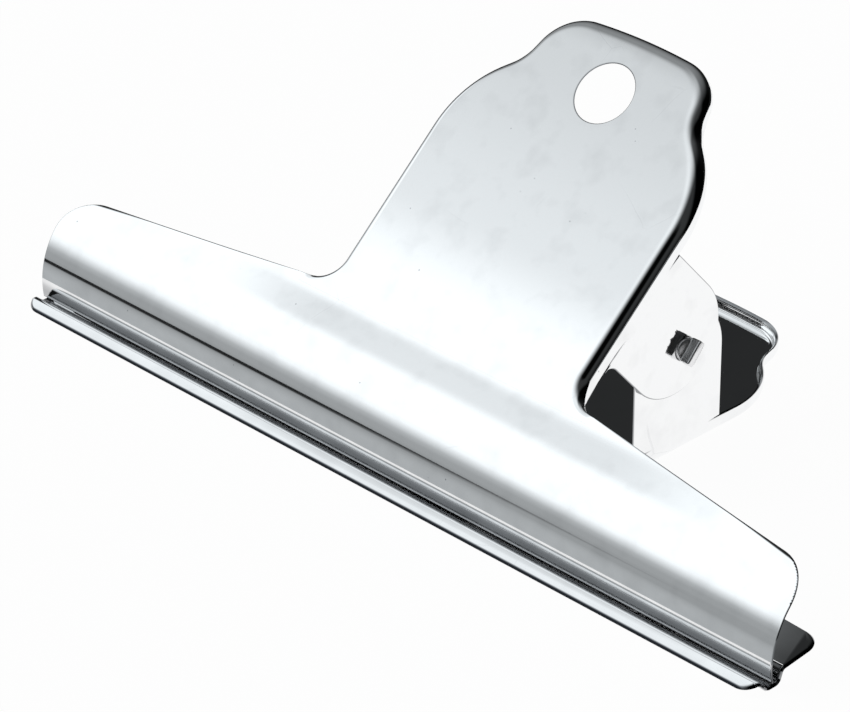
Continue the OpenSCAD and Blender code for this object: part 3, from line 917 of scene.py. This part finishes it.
class Studio(bpy.types.Operator):
    """Floor, soft light and camera"""
    bl_idname = "clip.studio"
    bl_label = "Studio"

    def execute(self, context):
        scene, sheet, finish = context.scene, context.scene.clip_sheet, context.scene.clip_finish
        scene.view_settings.view_transform = "Standard"
        bm = bmesh.new()
        bmesh.ops.create_grid(bm, x_segments=1, y_segments=1, size=FLOOR_HALF)
        bm.transform(Matrix.Translation((0, 0, -FLOOR_DROP)))
        floor = new_object("floor", bm)
        material, s, output = new_material("pale floor")
        seen = seen_by(s.tree, "Is Camera Ray", "Is Glossy Ray", "Is Transmission Ray")
        shader = s.out("ShaderNodeMixShader", _0=seen * 0.97,
                       _1=s.out("ShaderNodeBsdfDiffuse", Color=rgba(finish.floor)),
                       _2=s.out("ShaderNodeEmission", Color=WHITE))
        material.node_tree.links.new(shader.socket, output.inputs[0])
        floor.data.materials.append(material)
        card("front apron", x=(-2, 2), y=(-2, -0.0395), z=1e-4, finish=apron)
        card("haze over the handle", x=(-0.09, 0.04), y=(-0.045, 0.06), z=0.062, finish=haze)
        self.surround(scene)
        self.lamp("key light")
        self.camera(scene, sheet)
        return {"FINISHED"}

    def surround(self, scene):
        """The world: a tent, open behind and on the right, with a dark gap low on the left."""
        world = bpy.data.worlds.new("tent")
        scene.world = world
        world.use_nodes = True
        tree = world.node_tree
        tree.nodes.clear()
        s = Shade(tree)
        towards = s.out("ShaderNodeTexCoord")
        x, y, z = split(tree, towards)
        tent = ramp(z * 0.5 + 0.5, TENT)
        gap = z.step(-0.12, -0.085) * (1 - z.step(-0.055, -0.04)) * (1 - x.step(-0.64, -0.56))
        open_back = y.step(0.08, 0.4)
        side = x.step(-0.4, 0.45) * (z > 0)
        opening = s.out("ShaderNodeVectorMath", {"operation": "DOT_PRODUCT"}, output=1,
                        _0=towards, _1=OPENING_TOWARDS).step(0.88, 0.95)
        level = (tent * (1 - gap) * (1 - open_back * 0.98) * (1 - opening * 0.97)
                 * (1 - side * 0.97))
        shader = s.out("ShaderNodeMixShader",
                       _0=seen_by(tree, "Is Camera Ray", "Is Transmission Ray"),
                       _1=s.out("ShaderNodeBackground", Color=COOL, Strength=level),
                       _2=s.out("ShaderNodeBackground", Color=WHITE))
        output = tree.nodes.new("ShaderNodeOutputWorld")
        tree.links.new(shader.socket, output.inputs[0])

    def lamp(self, name):
        """A large soft lamp that points at the clip."""
        light = bpy.data.lights.new(name, "AREA")
        light.shape, light.size, light.energy = "DISK", LAMP_SIZE, LAMP_WATTS
        made = bpy.data.objects.new(name, light)
        made.location = LAMP_AT
        made.rotation_euler = (-Vector(LAMP_AT)).to_track_quat("-Z", "Y").to_euler()
        made.visible_glossy = False
        bpy.context.scene.collection.objects.link(made)

    def camera(self, scene, sheet):
        """Camera at the photograph's place and angle."""
        lens = bpy.data.cameras.new("camera")
        lens.sensor_width, lens.sensor_fit, lens.lens = SENSOR_MM, "HORIZONTAL", LENS_MM
        lens.clip_start, lens.clip_end = 0.01, 10
        made = bpy.data.objects.new("camera", lens)
        right, up = Vector(CAMERA_RIGHT), Vector(CAMERA_UP)
        turn = Matrix((right, up, right.cross(up).normalized())).transposed().to_4x4()
        place = Vector(CAMERA_AT) + Vector((0, sheet.pin_y, sheet.pin_z))
        made.matrix_world = Matrix.Translation(place) @ turn
        scene.collection.objects.link(made)
        scene.camera = made


class ClipPanel(bpy.types.Panel):
    """Lists the clip's sizes and pieces"""
    bl_idname = "VIEW3D_PT_clip"
    bl_label = "Bulldog clip"
    bl_space_type = "VIEW_3D"
    bl_region_type = "UI"
    bl_category = "Clip"

    def draw(self, context):
        for name, group in GROUPS.items():
            box = self.layout.box()
            box.label(text=group.__name__)
            for key in group.__annotations__:
                box.prop(getattr(context.scene, name), key)
        for operator in OPERATORS:
            self.layout.operator(operator.bl_idname)


GROUPS = {"clip_sheet": SheetSizes, "clip_handle": HandleSizes, "clip_front": FrontSizes,
          "clip_back": BackSizes, "clip_pin": PinSizes, "clip_spring": SpringSizes,
          "clip_finish": Finishes}
OPERATORS = (FrontPlate, BackPlate, PivotPin, TorsionSpring, Studio)


def register():
    for made in (*GROUPS.values(), *OPERATORS, ClipPanel):
        bpy.utils.register_class(made)
    for name, group in GROUPS.items():
        setattr(bpy.types.Scene, name, PointerProperty(type=group))


def unregister():
    for name in GROUPS:
        delattr(bpy.types.Scene, name)
    for made in reversed((*GROUPS.values(), *OPERATORS, ClipPanel)):
        bpy.utils.unregister_class(made)


def main():
    """Makes every piece and the studio."""
    register()
    bpy.ops.clip.front_plate()
    bpy.ops.clip.back_plate()
    bpy.ops.clip.pivot_pin()
    bpy.ops.clip.torsion_spring()
    bpy.ops.clip.studio()


if __name__ == "__main__":
    main()
